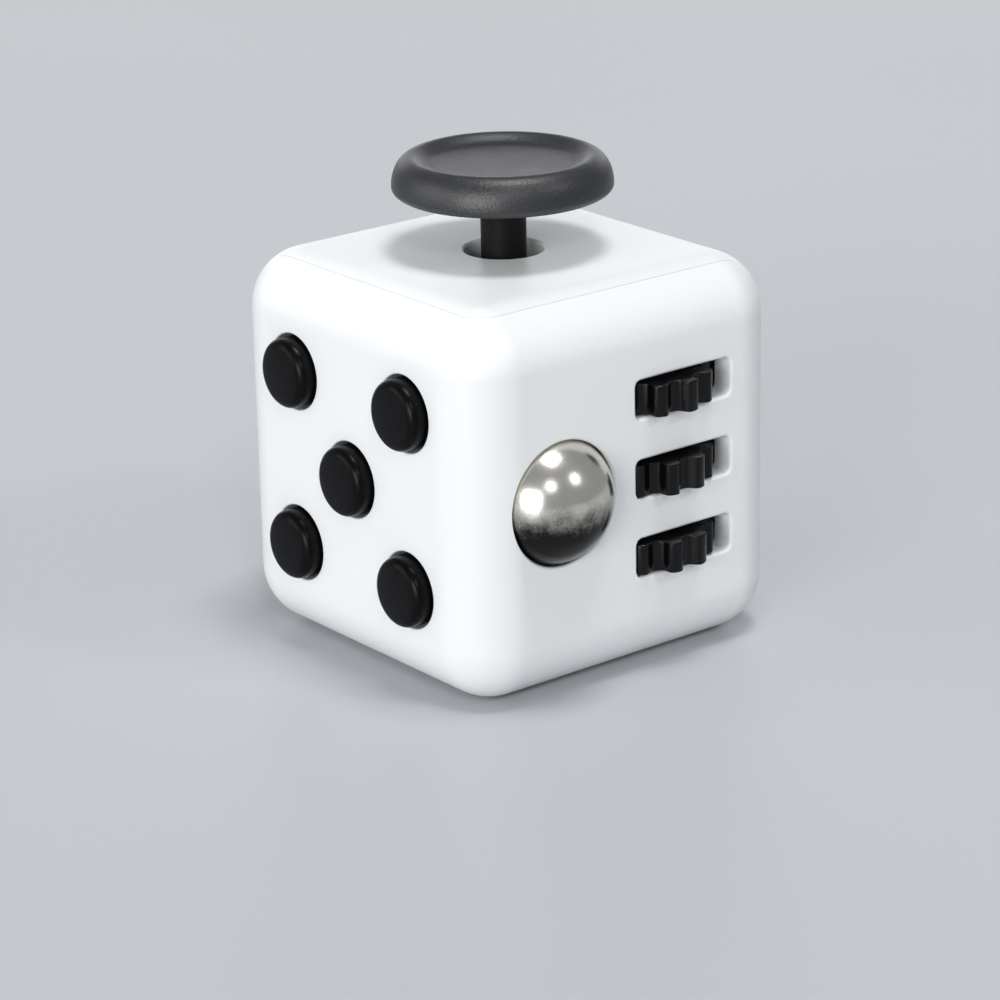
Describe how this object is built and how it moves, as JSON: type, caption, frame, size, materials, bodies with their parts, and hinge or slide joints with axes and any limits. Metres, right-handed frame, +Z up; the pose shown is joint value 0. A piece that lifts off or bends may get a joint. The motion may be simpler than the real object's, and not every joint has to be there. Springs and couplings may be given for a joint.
{
  "type": "fidget cube",
  "caption": "Palm-sized six-sided fidget toy: press buttons, a rolling ball and toothed wheels, a tilting thumb stick, a rocker, a spinning dial and a worry dish.",
  "frame": {"origin": "middle of the flat face that the cube rests on", "axes": "+Z up through the thumb stick, +X out of the ball and gear face, -Y out of the button face"},
  "size_m": [0.0391, 0.0362, 0.041],
  "materials": {
    "white_shell": "satin white moulded ABS",
    "button_black": "satin black",
    "gear_black": "gloss black",
    "rocker_black": "semi-gloss black",
    "dial_black": "satin black",
    "cap_grey": "soft matt dark grey with a fine grain",
    "stem_black": "matt black",
    "ball_steel": "polished, finely scuffed",
    "pin_steel": "ground",
    "spring_steel": "drawn wire and zinc screws",
    "switch_metal": "stamped cover",
    "plunger_black": "matt",
    "nylon": "natural nylon",
    "board_green": "solder mask",
    "silicone": "milky silicone"
  },
  "bodies": {
    "casing": {"front_shell": "white_shell", "rear_shell": "white_shell", "click_board": "board_green", "click_switch_2": "switch_metal", "click_switch_3": "switch_metal", "click_switch_4": "switch_metal", "click_dome_1": "silicone", "click_dome_5": "silicone", "board_screw_1": "spring_steel", "board_screw_2": "spring_steel", "ball_spring": "spring_steel", "ball_switch": "switch_metal", "ball_housing": "nylon", "ball_screw_1": "spring_steel", "ball_screw_2": "spring_steel", "gear_axle": "pin_steel", "gear_bracket": "nylon", "gear_screw_1": "spring_steel", "gear_screw_2": "spring_steel", "glide_frame": "nylon", "return_spring": "spring_steel", "glide_screw_1": "spring_steel", "glide_screw_2": "spring_steel", "rocker_pin": "pin_steel", "flip_frame": "nylon", "flip_leaf": "spring_steel", "flip_screw_1": "spring_steel", "flip_screw_2": "spring_steel", "spin_leaf": "spring_steel", "spin_screw_1": "spring_steel"},
    "button_1": {"click_button_1": "button_black"},
    "button_2": {"click_button_2": "button_black", "click_plunger_2": "plunger_black"},
    "button_3": {"click_button_3": "button_black", "click_plunger_3": "plunger_black"},
    "button_4": {"click_button_4": "button_black", "click_plunger_4": "plunger_black"},
    "button_5": {"click_button_5": "button_black"},
    "ball_carrier": {"ball_cup": "nylon", "ball_plunger": "plunger_black"},
    "ball": {"roller_ball": "ball_steel"},
    "gear_a": {"gear_1": "gear_black"},
    "gear_b": {"gear_2": "gear_black"},
    "gear_c": {"gear_3": "gear_black"},
    "gimbal": {"gimbal_ring": "nylon"},
    "stick": {"joystick_stem": "stem_black", "joystick_cap": "cap_grey", "joystick_pin": "pin_steel"},
    "flipper": {"rocker": "rocker_black"},
    "spinner": {"dial": "dial_black", "detent_wheel": "nylon", "dial_screw": "spring_steel"}
  },
  "joints": [
    {"name": "button_1_press", "type": "slide", "parent": "casing", "child": "button_1", "axis": [0, 1, 0], "range_m": [0, 0.0008], "stiffness_N_per_m": 600, "deforming": ["click_dome_1"]},
    {"name": "button_2_press", "type": "slide", "parent": "casing", "child": "button_2", "axis": [0, 1, 0], "range_m": [0, 0.00045], "stiffness_N_per_m": 2500},
    {"name": "button_3_press", "type": "slide", "parent": "casing", "child": "button_3", "axis": [0, 1, 0], "range_m": [0, 0.00045], "stiffness_N_per_m": 2500},
    {"name": "button_4_press", "type": "slide", "parent": "casing", "child": "button_4", "axis": [0, 1, 0], "range_m": [0, 0.00045], "stiffness_N_per_m": 2500},
    {"name": "button_5_press", "type": "slide", "parent": "casing", "child": "button_5", "axis": [0, 1, 0], "range_m": [0, 0.0008], "stiffness_N_per_m": 600, "deforming": ["click_dome_5"]},
    {"name": "ball_press", "type": "slide", "parent": "casing", "child": "ball_carrier", "axis": [-1, 0, 0], "range_m": [0, 0.0006], "stiffness_N_per_m": 1500, "deforming": ["ball_spring"]},
    {"name": "ball_roll", "type": "hinge", "parent": "ball_carrier", "child": "ball", "pos_m": [0.01419, -0.0074, 0.01664], "axis": [0, 0, 1], "continuous": true},
    {"name": "gear_1_spin", "type": "hinge", "parent": "casing", "child": "gear_a", "pos_m": [0.01275, 0.00445, 0.02342], "axis": [0, 0, 1], "continuous": true},
    {"name": "gear_2_spin", "type": "hinge", "parent": "casing", "child": "gear_b", "pos_m": [0.01275, 0.00445, 0.01664], "axis": [0, 0, 1], "continuous": true},
    {"name": "gear_3_spin", "type": "hinge", "parent": "casing", "child": "gear_c", "pos_m": [0.01275, 0.00445, 0.00986], "axis": [0, 0, 1], "continuous": true},
    {"name": "stick_tilt_x", "type": "hinge", "parent": "casing", "child": "gimbal", "pos_m": [0, 0, 0.026], "axis": [1, 0, 0], "range_deg": [-8, 8], "stiffness_Nm_per_rad": 0.04, "deforming": ["return_spring"]},
    {"name": "stick_tilt_y", "type": "hinge", "parent": "gimbal", "child": "stick", "pos_m": [0, 0, 0.026], "axis": [0, 1, 0], "range_deg": [-8, 8], "stiffness_Nm_per_rad": 0.04},
    {"name": "rocker_flip", "type": "hinge", "parent": "casing", "child": "flipper", "pos_m": [0, 0.0134, 0.0165], "axis": [1, 0, 0], "range_deg": [0, 24], "deforming": ["flip_leaf"]},
    {"name": "dial_spin", "type": "hinge", "parent": "casing", "child": "spinner", "pos_m": [-0.0165, 0, 0.0165], "axis": [-1, 0, 0], "continuous": true, "deforming": ["spin_leaf"]}
  ]
}
